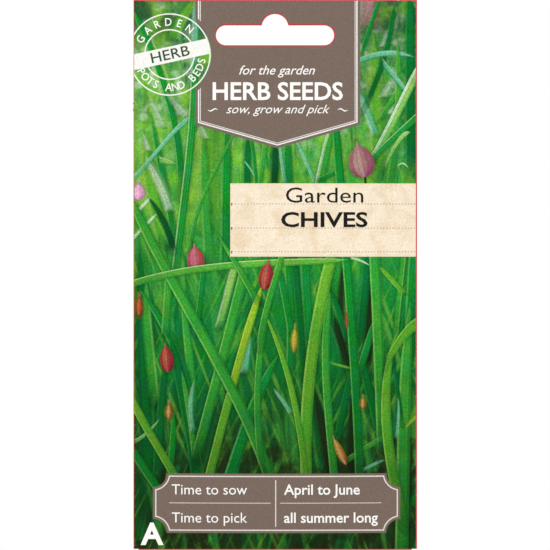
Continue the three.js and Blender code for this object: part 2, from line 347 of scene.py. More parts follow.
# The cells round the slot: the block's own grid points and the slot's outline, joined by triangles.
slot_ring = slot_outline()
for wall, wall_y, lean_y in (("front", front_y, -1), ("back", back_y, 1)):
    block_points, block_numbers = [], []
    wall_columns = [j for j, (part, x, _) in enumerate(columns) if part == wall and abs(x) < BLOCK_X + NEAR]
    low, high = BLOCK_LOW - NEAR, BLOCK_HIGH + NEAR
    wall_rows = [i for i, (level, z, _) in enumerate(rows) if level == "wall" and low < z < high]
    keep_off = slot_outline(SLOT_MARGIN)
    for i in wall_rows:
        for j in wall_columns:
            x, z = columns[j][1], rows[i][1]
            if not inside(keep_off, x, z):
                block_points.append((x, z))
                block_numbers.append(number[i, j])
    first_of_ring = len(block_points)
    direction = 1 if wall == "front" else -1
    start_u = blank_u[wall_columns[0]] - direction * columns[wall_columns[0]][1]
    start_v = blank_v[wall_rows[0]] - rows[wall_rows[0]][1]
    for x, z in slot_ring:
        block_points.append((x, z))
        block_numbers.append(len(points))
        points.append(np.array((x, float(wall_y(x, z)), z)))
        leans.append(np.array((0.0, lean_y, 0.0)))
        flat.append((start_u + direction * x, start_v + z))
    around = [first_of_ring + k for k in range(len(slot_ring))]
    ring_edges = list(zip(around, around[1:] + around[:1]))
    made = delaunay_2d_cdt([Vector(p) for p in block_points], ring_edges, [], 0, 1e-5)
    for triangle in made[2]:
        own = [made[3][k][0] for k in triangle]
        middle_x, middle_z = np.mean([block_points[k] for k in own], axis=0)
        if not inside(slot_ring, middle_x, middle_z):
            loop = [block_numbers[k] for k in own]
            polygons.append(loop if wall == "front" else loop[::-1])
            printed_side.append(wall)


# A thin sheet's faces: its outer side, the same faces turned over for its inner side, and a strip along
# every edge that only one face runs along. The inner side's corners follow the outer side's in number.
def closed(outer_faces, corner_count):
    edges = {}
    for loop in outer_faces:
        for a, b in zip(loop, loop[1:] + loop[:1]):
            edges[a, b] = True
    all_faces = outer_faces + [[k + corner_count for k in reversed(loop)] for loop in outer_faces]
    for a, b in edges:
        if (b, a) not in edges:
            all_faces.append([a, a + corner_count, b + corner_count, b])
    return all_faces


points = np.array(points)
leans = np.array(leans) * PAPER / 2
count = len(points)
corners = np.concatenate([points + leans, points - leans]) * MM
sheet_mesh = bpy.data.meshes.new("printed_sheet")
sheet_mesh.from_pydata(corners.tolist(), [], closed(polygons, count))
flat = np.array(flat)
blank_size = flat.max(0)
bake_map = sheet_mesh.uv_layers.new(name="OFBake")
INSIDE_STRIP = 0.03  # share of the map that the plain inner side and the cut edges take
share = flat / blank_size
both = np.concatenate([share * (1 - INSIDE_STRIP, 1), share * (INSIDE_STRIP, 1) + (1 - INSIDE_STRIP, 0)])
for face in sheet_mesh.polygons:
    is_rim = face.index >= 2 * len(polygons)
    for loop in face.loop_indices:
        k = sheet_mesh.loops[loop].vertex_index
        bake_map.data[loop].uv = both[k + count if is_rim and k < count else k]
    face.use_smooth = True
sheet_mesh.set_sharp_from_angle(angle=math.radians(50))
sheet = put("printed_sheet", sheet_mesh)
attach(sheet, "root")
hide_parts("envelope")


# ---- The sheet's bare paper ----
# The stock is bleached wood-free paper, uncoated inside. Its felt of fibres shows as a fine tooth, and the
# cut edges are the same white.
def ink(red, green, blue):
    def linear(value):
        value /= 255
        return value / 12.92 if value <= 0.04045 else ((value + 0.055) / 1.055) ** 2.4
    return linear(red), linear(green), linear(blue), 1.0


def feed(value, socket):
    if isinstance(value, bpy.types.NodeSocket):
        socket.id_data.links.new(value, socket)
    else:
        socket.default_value = value


# A new node among those that the given values come from.
def node_for(kind, *values):
    source = next(value for value in values if isinstance(value, bpy.types.NodeSocket))
    return source.id_data.nodes.new(kind)


def calc(operation, *values):
    node = node_for("ShaderNodeMath", *values)
    node.operation = operation
    for value, socket in zip(values, node.inputs):
        feed(value, socket)
    return node.outputs[0]


def times(first, second):
    return calc("MULTIPLY", first, second)


def less(first, second):
    return calc("SUBTRACT", first, second)


def times_plus(first, second, third):
    return calc("MULTIPLY_ADD", first, second, third)


def lesser(first, second):
    return calc("MINIMUM", first, second)


def greater(first, second):
    return calc("MAXIMUM", first, second)


def blend(share, under, over):
    node = node_for("ShaderNodeMix", share)
    node.data_type = "RGBA"
    feed(share, node.inputs["Factor"])
    feed(under, node.inputs[6])
    feed(over, node.inputs[7])
    return node.outputs[2]


def fade(value, low, high, start=0.0, end=1.0):
    node = node_for("ShaderNodeMapRange", value)
    node.interpolation_type = "SMOOTHSTEP"
    node.clamp = False  # the smooth step already ends at its limits
    names = ("Value", "From Min", "From Max", "To Min", "To Max")
    for name, setting in zip(names, (value, low, high, start, end)):
        feed(setting, node.inputs[name])
    return node.outputs[0]


def clouds(where, scale, detail=2.0, roughness=0.5, distortion=0.0):
    node = node_for("ShaderNodeTexNoise", where)
    names = ("Vector", "Scale", "Detail", "Roughness", "Distortion")
    for name, setting in zip(names, (where, scale, detail, roughness, distortion)):
        feed(setting, node.inputs[name])
    return node.outputs["Fac"]


# A new material, with its place on the packet in millimetres: x from the middle and height above the foot.
def stock(name):
    material = bpy.data.materials.new(name)
    material.use_nodes = True
    tree = material.node_tree
    shader = tree.nodes["Principled BSDF"]
    own = tree.nodes.new("ShaderNodeTexCoord")
    where = tree.nodes.new("ShaderNodeVectorMath")
    where.operation = "MULTIPLY_ADD"
    tree.links.new(own.outputs["Object"], where.inputs[0])
    where.inputs[1].default_value = (1 / MM, 1 / MM, 1 / MM)
    where.inputs[2].default_value = (0, 0, -BOTTOM)
    split = tree.nodes.new("ShaderNodeSeparateXYZ")
    tree.links.new(where.outputs[0], split.inputs[0])
    return material, shader, where.outputs[0], split.outputs["X"], split.outputs["Z"]


def surface(shader, colour, roughness, shine=0.5):
    feed(colour, shader.inputs["Base Color"])
    feed(roughness, shader.inputs["Roughness"])
    shader.inputs["Specular IOR Level"].default_value = shine


def emboss(shader, relief_height, strength, depth):
    bump = shader.id_data.nodes.new("ShaderNodeBump")
    bump.inputs["Strength"].default_value = strength
    bump.inputs["Distance"].default_value = depth * MM
    feed(relief_height, bump.inputs["Height"])
    feed(bump.outputs["Normal"], shader.inputs["Normal"])


# The tooth of the paper under whatever is printed on it.
def paper_tooth(shader, where, strength):
    fibres = clouds(where, 3.2, 4, 0.65)
    cockle = clouds(where, 0.22, 2, 0.5)
    emboss(shader, times_plus(cockle, 2.2, times(fibres, 0.12)), strength, 0.1)
    return fibres


bare_paper, shader, where = stock("bare_paper")[:3]
fibres = paper_tooth(shader, where, 0.6)
flecks = clouds(where, 0.9, 3, 0.6)
white = blend(fade(flecks, 0.35, 0.7), ink(238, 235, 226), ink(247, 245, 239))
surface(shader, white, fade(fibres, 0.3, 0.7, 0.78, 0.9), 0.25)


# ---- The printed front: the ground of the picture ----
# The front is offset-printed on the coated side of the sheet with a close view into a clump of chives. The
# farthest leaves are out of focus: soft upright streaks of green over shade, lighter towards the upper left.
front_print, shader, where, across, height = stock("front_print")


def ramp(value, *stops):
    node = node_for("ShaderNodeValToRGB", value)
    feed(value, node.inputs[0])
    for k, (position, colour) in enumerate(stops):
        if k > 1:
            node.color_ramp.elements.new(position)
        node.color_ramp.elements[k].position = position
        node.color_ramp.elements[k].color = colour
    return node.outputs[0]


def streaks(lean, width, low, high, colour, shift, strength=1.0):
    global picture
    turned = node_for("ShaderNodeMapping", where)
    turned.vector_type = "TEXTURE"
    feed(where, turned.inputs["Vector"])
    turned.inputs["Location"].default_value = (shift, 0, 0)
    turned.inputs["Rotation"].default_value = (0, math.radians(lean), 0)
    turned.inputs["Scale"].default_value = (width, 1000, width * 20)
    grain = clouds(turned.outputs[0], 1.0, 1.5, 0.55)
    picture = blend(fade(grain, low, high, 0, strength), picture, colour)


def between(value, low, high, soft):
    rise = fade(value, low - soft, low + soft)
    return lesser(rise, fade(value, high - soft, high + soft, 1, 0))


drift = clouds(where, 0.045, 2)
level = times_plus(height, 1 / HEIGHT, times_plus(drift, 0.16, -0.08))
picture = ramp(
    level,
    (0.0, ink(34, 62, 26)), (0.16, ink(22, 74, 30)), (0.24, ink(12, 96, 38)), (0.42, ink(12, 120, 46)),
    (0.53, ink(40, 144, 54)), (0.62, ink(60, 156, 52)), (0.74, ink(92, 168, 66)), (0.9, ink(84, 140, 88)),
)
right_shade = times(fade(across, 20, 32), fade(height, 104, 118))
picture = blend(times(right_shade, 0.6), picture, ink(30, 122, 58))
streaks(4, 4.6, 0.48, 0.74, ink(4, 96, 40), 3, 0.7)
streaks(-9, 3.2, 0.52, 0.68, ink(74, 166, 56), 40, 0.6)
streaks(14, 2.3, 0.52, 0.68, ink(14, 138, 54), 90, 0.75)
streaks(-22, 2.0, 0.56, 0.7, ink(118, 186, 62), 140, 0.45)
streaks(26, 1.8, 0.55, 0.68, ink(96, 180, 44), 260, 0.6)
streaks(-3, 1.5, 0.55, 0.68, ink(6, 92, 38), 200, 0.6)
low_gaps = times(fade(height, 52, 20), 0.9)
deep_grain = clouds(where, 0.12, 3, 0.6)
picture = blend(times(low_gaps, fade(deep_grain, 0.46, 0.62)), picture, ink(34, 46, 18))
soft_light = clouds(where, 0.1, 2, 0.5)
upper = times(fade(height, 84, 106), fade(soft_light, 0.44, 0.68, 0, 0.75))
picture = blend(upper, picture, ink(130, 196, 46))
glints = fade(clouds(where, 0.3, 1, 0.5), 0.5, 0.72, 0, 0.55)
picture = blend(times(glints, fade(height, 106, 132)), picture, ink(188, 210, 178))
far_dark = fade(clouds(where, 0.13, 2, 0.55, 0.4), 0.4, 0.6, 0.25, 0.85)
picture = blend(times(far_dark, fade(height, 142, 155)), picture, ink(30, 68, 44))


# ---- The printed front: the leaves ----
# Chive leaves are long hollow tubes, widest low down and drawn out to a point. Each has a dark flank turned
# from the sky, a clear green body and a thin pale edge where it catches the light.
# A part of the picture that is drawn many times: its colours, its measures and what lies under it go in, and
# the picture with it comes out.
def drawn_part(name, *numbers):
    part = bpy.data.node_groups.new(name, "ShaderNodeTree")
    for colour in ("Under", "Dark", "Body", "Lit"):
        part.interface.new_socket(name=colour, in_out="INPUT", socket_type="NodeSocketColor")
    for number in numbers:
        part.interface.new_socket(name=number, in_out="INPUT", socket_type="NodeSocketFloat")
    part.interface.new_socket(name="Picture", in_out="OUTPUT", socket_type="NodeSocketColor")
    return part, list(part.nodes.new("NodeGroupInput").outputs)[:-1]


# Draws one such part over the picture so far, in its dark, middle and lit colours.
def draw(part, tone, **settings):
    global picture
    node = node_for("ShaderNodeGroup", picture)
    node.node_tree = part
    feed(picture, node.inputs["Under"])
    for name, colour in zip(("Dark", "Body", "Lit"), tone):
        feed(ink(*colour), node.inputs[name])
    for name, setting in settings.items():
        feed(setting, node.inputs[name])
    picture = node.outputs[0]


UNDER_SHADOW = ink(2, 26, 8)
blade_part, given = drawn_part(
    "chive_blade",
    "Along", "Beside", "Place", "Slant", "Bend", "Twist", "Narrow", "Reach", "Start", "Point", "Crisp",
)
under, dark, body, lit, along, beside, at, slant, bend, twist, narrow, reach, start, point, crisp = given
middle = times_plus(twist, along, bend)
middle = times_plus(middle, along, slant)
middle = times_plus(middle, along, at)
offset = times(less(beside, middle), narrow)
travel = times_plus(along, reach, start)
taper = calc("POWER", calc("ABSOLUTE", travel), point)
taper = greater(taper, times(travel, -30.0))
breadth = less(1.0, taper)
beyond = less(calc("ABSOLUTE", offset), breadth)
turned_to = calc("DIVIDE", offset, greater(breadth, 0.05))
flesh = blend(fade(turned_to, -1.1, -0.2), dark, body)
grooves = calc("SINE", times(turned_to, 11.0))
flesh = blend(fade(grooves, -0.4, 1.0, 0.0, 0.09), flesh, lit)
flesh = blend(fade(travel, 0.65, 0.05, 0.0, 0.5), flesh, dark)
flesh = blend(fade(turned_to, 0.58, 0.98, 0.0, 0.85), flesh, lit)
shadow = fade(beyond, 0.7, 0.0, 0.0, 0.3)
behind = blend(shadow, under, UNDER_SHADOW)
cover = times_plus(beyond, times(crisp, -1.0), 0.5)
cover = lesser(cover, fade(travel, 0.0, 0.2))
result = blend(cover, behind, flesh)
feed(result, node_for("NodeGroupOutput", result).inputs[0])

LIME = (58, 140, 36), (92, 168, 42), (150, 206, 84)
GOLD = (84, 148, 32), (138, 184, 40), (196, 214, 84)
DEW = (50, 150, 56), (134, 190, 84), (210, 230, 184)
SPRING = (12, 122, 40), (50, 154, 46), (128, 198, 90)
ARCH = (40, 138, 40), (86, 170, 50), (196, 230, 160)
GRASS = (0, 104, 40), (4, 134, 46), (96, 186, 88)
RIMMED = (0, 116, 42), (10, 142, 46), (168, 212, 146)
DEEP = (0, 84, 34), (2, 108, 42), (34, 142, 62)
SHADE = (0, 58, 24), (4, 80, 34), (10, 98, 42)
PALE = (120, 184, 116), (180, 212, 168), (238, 244, 230)
BLUE = (40, 146, 92), (100, 186, 138), (190, 226, 206)
GAP = (14, 36, 14), (24, 48, 18), (34, 62, 24)
MIST = (134, 184, 118), (166, 196, 156), (186, 200, 186)
HAZE = (118, 84, 84), (162, 120, 126), (184, 156, 158)


# One leaf through the given places, foot last or first as it lies; its tip is the far end from its foot.
def blade(tone, half, soft, lit_side, *places, lying=False, point=7.0):
    along = np.array([p[0] if lying else p[1] for p in places], float)
    beside = np.array([p[1] if lying else p[0] for p in places], float)
    curve = np.polyfit(along, beside, min(3, len(places) - 1))[::-1]
    curve = list(curve) + [0.0] * (4 - len(curve))
    reach = along[-1] - along[0]
    lean = (beside[-1] - beside[0]) / reach
    draw(
        blade_part, tone, Along=across if lying else height, Beside=height if lying else across,
        Place=curve[0], Slant=curve[1], Bend=curve[2], Twist=curve[3],
        Narrow=lit_side / half / math.sqrt(1 + lean * lean), Reach=1 / reach, Start=-along[0] / reach,
        Point=point, Crisp=half / soft,
    )


L, R = -1, 1

# A far bud in the haze, then soft leaves behind the header and to the left of the label.
blade(HAZE, 2.3, 4.2, L, (27.0, 151.6), (27.4, 166), point=20)
blade(BLUE, 0.9, 1.2, L, (-24, 134), (-23.2, 146), (-23.2, 160))
blade(LIME, 1.3, 1.6, R, (-30, 148), (-27, 155), (-23, 161))
blade(LIME, 2.4, 5.0, L, (-20.5, 92), (-19.5, 112), (-18.5, 132))
blade(LIME, 2.0, 4.0, L, (-32, 88), (-35, 102), (-38, 118))
blade(DEW, 1.4, 3.4, L, (-29, 126), (-31.5, 136), (-35, 147))
blade(GRASS, 1.4, 1.2, L, (-14.5, 80), (-14.2, 104), (-13.8, 126))
blade(SPRING, 1.3, 1.6, L, (-19, 84), (-20.2, 104), (-20.8, 122))
blade(GRASS, 1.0, 1.0, L, (-28.6, 88), (-32, 106), (-36, 126))
blade(DEEP, 1.2, 0.9, L, (-8, 104), (-8, 113), (-7.5, 122))
blade(SHADE, 1.2, 1.0, L, (-0.3, 104), (0, 112), (0.3, 121))
blade(GRASS, 1.2, 0.9, L, (4.2, 104), (3.8, 112), (3.4, 121))
blade(BLUE, 0.5, 0.5, L, (12.2, 106), (9.5, 112), (6.4, 119))
blade(BLUE, 0.5, 0.5, L, (3.1, 106), (2.2, 112), (1.3, 119))
blade(LIME, 2.0, 3.4, L, (30, 108), (29.6, 130), (29, 148))
blade(DEEP, 1.5, 0.8, L, (39.6, 104), (39.4, 135), (39.4, 170))
blade(BLUE, 0.9, 1.2, L, (29.8, 120), (27.5, 126), (24.8, 133))
blade(PALE, 0.8, 2.2, L, (-30, 98), (-33, 106), (-36.6, 113))
blade(
    GRASS, 1.0, 0.6, L,
    (-27.3, 102), (-27.9, 113), (-31, 132.4), (-34, 140.6), (-37.3, 147.5), (-41, 157), point=20,
)
blade(MIST, 0.7, 2.0, L, (-32.2, 122.6), (-35.4, 130.2), point=3)
blade(MIST, 0.7, 2.0, L, (-25, 125.6), (-30.2, 131.8), point=3)
blade(MIST, 0.6, 1.0, L, (-36.6, 115.8), (-38.2, 121), point=3)
blade(MIST, 0.6, 1.0, L, (-19.6, 119.4), (-21.4, 123.4), point=3)
blade(DEW, 0.8, 1.0, R, (-34, 113.4), (-29.4, 112.4), lying=True, point=3)
blade(MIST, 0.7, 2.0, L, (31.6, 146), (35, 153.6), point=3)
blade(MIST, 0.7, 1.8, L, (31.4, 131.4), (34.6, 137.4), point=3)
blade(SPRING, 0.6, 0.7, L, (29.8, 124), (37.4, 135.8), point=20)
blade(DEEP, 0.8, 0.5, L, (25.4, 127), (28, 133), (31, 141), (33, 148), (34.6, 158), point=20)
blade(GRASS, 0.6, 0.4, L, (24.6, 142), (27, 150), (31, 162))
blade(BLUE, 0.75, 0.5, R, (20, 139.6), (25, 142.4), (30, 144.2), (35, 144.3), (40, 143.5), lying=True)
blade(SPRING, 1.0, 0.7, L, (33, 104), (35, 118), (36, 132), (35.6, 148))
blade(BLUE, 0.6, 0.6, R, (30.8, 142.4), (38.4, 133.2), lying=True, point=20)

# Sharper leaves in the upper half.
blade(BLUE, 0.6, 0.35, R, (-45, 104.8), (-35.1, 114.9), (-29.9, 121), (-24.6, 125.7), lying=True, point=30)
blade(RIMMED, 1.15, 0.22, L, (-29.4, 76), (-26.3, 102), (-24.3, 121), (-23.4, 142), point=30)
blade(SPRING, 0.5, 0.3, L, (-24.8, 86), (-23, 96), (-20, 105), (-16, 113), (-11.2, 122), point=20)
blade(BLUE, 0.22, 0.2, L, (-4.4, 105.5), (-6.6, 110), (-8.9, 113.2), point=20)
blade(GRASS, 0.5, 0.35, L, (-5.2, 104), (-6, 113), (-7.1, 121), point=20)
blade(SPRING, 0.7, 0.35, L, (-4.6, 104), (-3.6, 112), (-2.4, 121), point=20)
blade(PALE, 0.5, 0.35, L, (11.6, 104), (13.3, 112), (15.6, 121.5), point=20)
blade(SPRING, 1.0, 0.5, L, (13.0, 104), (14.4, 112), (16.6, 121.5), point=20)
blade(GRASS, 0.7, 0.4, R, (11.5, 107.0), (16, 109), (20.5, 110.6), lying=True)
blade(DEW, 1.1, 0.3, L, (27.8, 112.4), (32.5, 121), (37, 130), (43, 142), point=20)
blade(PALE, 0.45, 0.3, L, (27.2, 112.6), (31.9, 121.3), (36.3, 130.3), (42, 141.6), point=20)
blade(RIMMED, 0.9, 0.25, R, (44, 128.4), (35, 120.2), (27.4, 113), lying=True, point=20)
blade(DEW, 0.55, 0.35, R, (31.6, 110), (33, 113.5), (35.9, 118.8), (39.2, 121.4), lying=True)
blade(PALE, 0.22, 0.25, R, (35.4, 111.2), (37, 112.4), (38.8, 111), lying=True)
blade(PALE, 0.4, 0.3, R, (-43, 88.6), (-38, 94), (-34.4, 97.6), lying=True, point=20)
blade(PALE, 0.45, 0.3, R, (-41, 97.4), (-36.2, 102.4), lying=True, point=20)
blade(LIME, 0.5, 0.35, L, (-30.2, 88), (-33, 94), (-35.2, 97.6))
blade(SHADE, 0.9, 0.5, L, (-29.6, 86), (-32.6, 96), (-36.8, 102.6))

# The farther leaves of the lower half.
blade(DEEP, 2.2, 0.9, R, (-36.6, 10), (-37.8, 55), (-39.2, 88))
blade(SPRING, 1.4, 0.8, R, (-35.2, 42), (-36, 52), (-37, 62), (-37.6, 78))
blade(DEEP, 1.2, 0.4, L, (-34.6, 18), (-33.4, 36), (-32.0, 53), point=20)
blade(SPRING, 1.2, 0.6, L, (-24.2, 36), (-24.4, 52), (-25.2, 60), (-26.8, 73))
blade(GRASS, 1.3, 0.3, L, (-24.6, 40), (-29.5, 60), (-33.5, 67.4), (-39.4, 76))
blade(DEEP, 1.6, 0.4, L, (-22, 16), (-26, 42), (-30.4, 62), point=14)
blade(SPRING, 0.8, 0.4, L, (-23.2, 26), (-24.4, 37), (-27, 52))
blade(GRASS, 0.9, 0.4, L, (-31.4, 18), (-29.8, 30), (-29.4, 40))
blade(GRASS, 1.5, 0.8, L, (11.5, 46), (9.6, 68), (8.6, 90), point=30)
blade(GRASS, 1.2, 0.6, L, (4.2, 48), (4.5, 72), (3.2, 90), point=30)
blade(DEEP, 1.1, 0.5, L, (8.4, 50), (7, 70), (5.2, 88), point=30)
blade(GRASS, 1.0, 0.4, L, (4.9, 62), (3.2, 72), (0.4, 85))
blade(GAP, 1.5, 0.9, L, (25.8, 50), (27.4, 62), (27.9, 78))
blade(GAP, 1.0, 0.9, L, (21.4, 50), (19.2, 66), (20, 84))
blade(DEEP, 0.9, 0.4, L, (21.4, 60), (18.6, 69), (16, 76))
blade(DEEP, 1.2, 0.6, L, (24.6, 60), (26, 75), (27.2, 88), point=30)
blade(GAP, 0.7, 0.5, L, (22, 53.5), (19, 60), (17.3, 68))
blade(GAP, 1.3, 0.9, L, (16.6, 18), (14, 34), (11.6, 46))
blade(GAP, 1.0, 0.8, L, (21.6, 20), (22, 34), (22.2, 44))
blade(DEEP, 1.3, 0.4, L, (32, 28), (28, 44), (24.6, 57), point=12)
blade(GRASS, 1.0, 0.4, L, (24, 50), (26.4, 58), (29.4, 68))
blade(DEEP, 1.0, 0.4, L, (17.6, 30), (20, 42), (22.6, 54))
blade(SPRING, 1.1, 0.5, L, (-31.9, 62), (-31.3, 72), (-30.7, 82), point=20)
blade(GRASS, 0.8, 0.4, L, (-23, 62), (-21.8, 72), (-20.5, 84), point=20)
blade(DEW, 1.0, 0.8, L, (-16.4, 64), (-13.5, 75), (-11.2, 84), point=20)
blade(GRASS, 1.6, 0.4, L, (-15, 16), (-10, 31), (-5.2, 44), (1, 57))
blade(BLUE, 0.55, 0.9, L, (-23.5, 34), (-24.3, 42), (-23.5, 48.6))
blade(BLUE, 1.0, 1.1, L, (-8.9, 51), (-8, 57.5), (-7.3, 63))
blade(GRASS, 1.4, 0.5, L, (38.0, 40), (39, 62), (40.6, 90), point=30)
blade(SPRING, 1.9, 0.4, L, (36.6, -12), (37.2, 22), (37.8, 45), (39.4, 72))
blade(DEEP, 0.6, 0.3, L, (37, 36), (35.4, 48), (34, 58))
blade(SPRING, 0.8, 0.3, R, (34.4, 54), (36.2, 76), (37.8, 90), point=30)
blade(LIME, 0.7, 0.3, L, (38, 74.2), (33.5, 79.2), (30.0, 83))
blade(BLUE, 0.5, 0.8, L, (5.0, 39.6), (2.4, 43.6), (0, 46.8))
blade(DEW, 0.45, 0.3, R, (-41.6, 31.2), (-37, 34.2), (-33.6, 38), lying=True)
blade(GRASS, 1.2, 0.3, L, (-30.6, 13), (-36.7, 21.8), (-43, 31.4), point=20)
blade(BLUE, 0.45, 0.4, R, (25, 23), (28.5, 24.8), (31.8, 26.2), lying=True)
blade(SPRING, 0.75, 0.35, R, (20, 25.6), (26, 29.5), (33, 33.6), lying=True, point=14)
blade(BLUE, 0.35, 0.5, R, (34.8, 32), (35.6, 37), (35.7, 44))
blade(GOLD, 0.45, 0.4, L, (37.4, 35.6), (46, 43.4), lying=True, point=20)
blade(LIME, 0.35, 0.3, R, (15, 54.9), (18, 53.9), (22.6, 52.8), lying=True)

# The nearest leaves, sharp from edge to edge.
blade(
    GRASS, 1.3, 0.2, L,
    (24.9, 10), (23.6, 43.6), (22.4, 62), (20.9, 84.4), (18.9, 106.8), (17.3, 128), point=30,
)
blade(SPRING, 1.5, 0.25, L, (31.4, 26), (30.3, 52), (29.4, 74), (28.2, 96), point=30)
blade(SPRING, 1.15, 0.2, L, (17.9, 12), (16.3, 32), (15.3, 40.7), (14.8, 59.6), (16.0, 75), point=14)
blade(SPRING, 1.4, 0.2, L, (-23.4, 25), (-18.6, 43.6), (-14.5, 58.2), (-11.1, 72.7), (-8.0, 85), point=30)
blade(GOLD, 1.1, 0.2, L, (-16.1, 33.5), (-12.0, 49), (-7.4, 65.5), (-3.7, 77), point=12)
blade(LIME, 1.2, 0.2, L, (-21.5, 12), (-16.1, 33.5), (-12.4, 47.6), point=30)
blade(LIME, 1.65, 0.2, L, (10.5, 4), (9.6, 43.6), (10.6, 58), (13.7, 72.7), (18.4, 93), point=30)
blade(LIME, 1.15, 0.2, L, (-25.6, 15), (-32.6, 27.6), (-36.9, 34.9), (-43, 47), point=20)
blade(LIME, 1.5, 0.2, L, (37.6, 6), (32.9, 32), (32, 43.6), (33.0, 52.4), (35.6, 64), point=5)
blade(LIME, 1.35, 0.25, R, (31.4, 52.4), (36.9, 61.7), (46, 67), lying=True, point=20)
blade(
    SPRING, 1.5, 0.2, L,
    (1.0, 12), (-10.2, 40.7), (-16, 54.7), (-24.7, 69.8), (-33.5, 84), (-42.5, 104), point=20,
)
blade(SPRING, 0.95, 0.2, L, (-3.5, 22), (-4.8, 50), (-3.6, 64), (-0.6, 77), (2.8, 89), point=20)
blade(LIME, 0.85, 0.2, L, (9.4, 16), (8.4, 27.6), (5.2, 43.6), (1.7, 58.2), (-3.8, 70.4))


# ---- The printed front: the buds ----
# A chive bud is a drop of papery pink skin on a round green stem, darker and redder at its foot, finely
# veined from foot to tip and drawn out to a pale point. The biggest is sharp; others lie deeper in the clump.
bud_part, given = drawn_part(
    "chive_bud", "Across", "Height", "FootX", "FootH", "Cos", "Sin", "Inverse", "Narrow", "Crisp"
)
under, dark, body, lit, at_x, at_height, foot_x, foot_height, cosine, sine, inverse, narrow, crisp = given
to_right = less(at_x, foot_x)
to_top = less(at_height, foot_height)
up = times_plus(to_top, cosine, times(to_right, sine))
leaning = times(to_top, sine)
beside = less(times(to_right, cosine), leaning)
travel = times(up, inverse)
from_foot = calc("POWER", greater(travel, 0.0001), 0.5)
to_tip = greater(times_plus(travel, -1.16, 1.0), 0.0001)
breadth = times(times(from_foot, calc("POWER", to_tip, 0.65)), 2.37)
nub = lesser(times_plus(travel, -1.1, 1.1), 0.2)
breadth = greater(breadth, nub)
offset = times(beside, narrow)
turned_to = calc("DIVIDE", offset, greater(breadth, 0.05))
skin = blend(fade(travel, 0.0, 0.42), dark, body)
shine = lesser(fade(turned_to, -0.85, -0.3), fade(turned_to, 0.5, -0.2))
skin = blend(times(shine, 0.6), skin, lit)
veins = calc("SINE", times(turned_to, 15.0))
skin = blend(fade(veins, 0.0, 1.0, 0.0, 0.4), skin, dark)
skin = blend(fade(turned_to, 0.4, 1.0, 0.0, 0.7), skin, dark)
skin = blend(fade(travel, 0.82, 1.0, 0.0, 0.7), skin, lit)
beyond = less(calc("ABSOLUTE", offset), breadth)
past_end = calc("ABSOLUTE", less(travel, 0.5))
past_end = times_plus(past_end, 4.0, -2.0)
beyond = greater(beyond, past_end)
behind = blend(fade(beyond, 0.5, 0.0, 0.0, 0.4), under, UNDER_SHADOW)
cover = times_plus(beyond, times(crisp, -1.0), 0.5)
result = blend(cover, behind, skin)
feed(result, node_for("NodeGroupOutput", result).inputs[0])

MAUVE = (134, 58, 90), (150, 100, 104), (188, 162, 142)
LILAC = (190, 118, 156), (212, 150, 188), (240, 208, 226)
ROSE = (140, 40, 62), (166, 78, 88), (204, 128, 144)
CRIMSON = (120, 20, 36), (152, 50, 50), (204, 124, 84)
RUSSET = (110, 50, 20), (178, 84, 40), (214, 140, 80)
AMBER = (120, 108, 24), (166, 162, 36), (222, 208, 104)
TAN = (144, 80, 26), (192, 140, 44), (236, 210, 148)


def bud(tone, half, soft, foot_x, foot_height, tip_x, tip_height):
    length = math.hypot(tip_x - foot_x, tip_height - foot_height)
    draw(
        bud_part, tone, Across=across, Height=height, FootX=foot_x, FootH=foot_height,
        Cos=(tip_height - foot_height) / length, Sin=(tip_x - foot_x) / length,
        Inverse=1 / length, Narrow=1 / half, Crisp=half / soft,
    )


bud(RUSSET, 1.1, 1.5, -39.5, 68.0, -39.5, 74.2)
bud(LILAC, 1.8, 1.5, -39.7, 101.8, -39.7, 107.2)
bud(TAN, 0.9, 1.2, -30.9, 38.2, -30.8, 43.2)
bud(TAN, 0.8, 0.9, 25.5, 41.2, 25.5, 45.0)
bud(AMBER, 1.0, 0.7, 5.5, 57.6, 5.8, 65.6)
bud(TAN, 1.2, 0.3, 20.6, 25.0, 16.6, 33.6)
bud(CRIMSON, 0.4, 0.6, 20.8, 64.6, 20.6, 70.0)
bud(CRIMSON, 2.0, 0.2, -31.0, 51.8, -32.0, 60.4)
bud(ROSE, 2.5, 0.2, -22.7, 81.0, -23.5, 89.2)
blade(ARCH, 1.0, 0.2, R, (-50, 74.2), (-30, 80.5), (-15, 82.3), (0, 83.6), (21, 84.3), lying=True, point=14)
bud(CRIMSON, 2.1, 0.2, -3.1, 75.8, -1.8, 84.6)
blade(SPRING, 0.95, 0.2, L, (-4.4, 58), (-2.9, 68), (-0.4, 77), (2.8, 89), point=20)
blade(PALE, 0.3, 0.2, R, (21.5, 84.9), (24, 84.4), (27.4, 82.8), lying=True)
blade(SPRING, 0.95, 0.2, L, (-4.6, 71.5), (-11.6, 83.8), (-17.0, 92.4), point=3)
blade(GAP, 0.3, 0.2, L, (26.5, 104), (26.1, 110))
bud(MAUVE, 3.7, 0.2, 26.1, 108.4, 23.7, 118.9)


# Down in the clump it is dimmer, and light falls unevenly through the leaves.
dapple = fade(clouds(where, 0.07, 3, 0.6), 0.3, 0.7, 0.84, 1.08)
depth = times(fade(height, 8, 84, 0.58, 1.02), dapple)
screen = fade(clouds(where, 1.9, 1, 0.6), 0.3, 0.7, 0.85, 1.16)
warmth = fade(clouds(where, 0.16, 3, 0.65), 0.32, 0.68, 0.488, 0.511)
graded = node_for("ShaderNodeHueSaturation", picture)
feed(picture, graded.inputs["Color"])
feed(warmth, graded.inputs["Hue"])
feed(times(depth, screen), graded.inputs["Value"])
picture = graded.outputs[0]


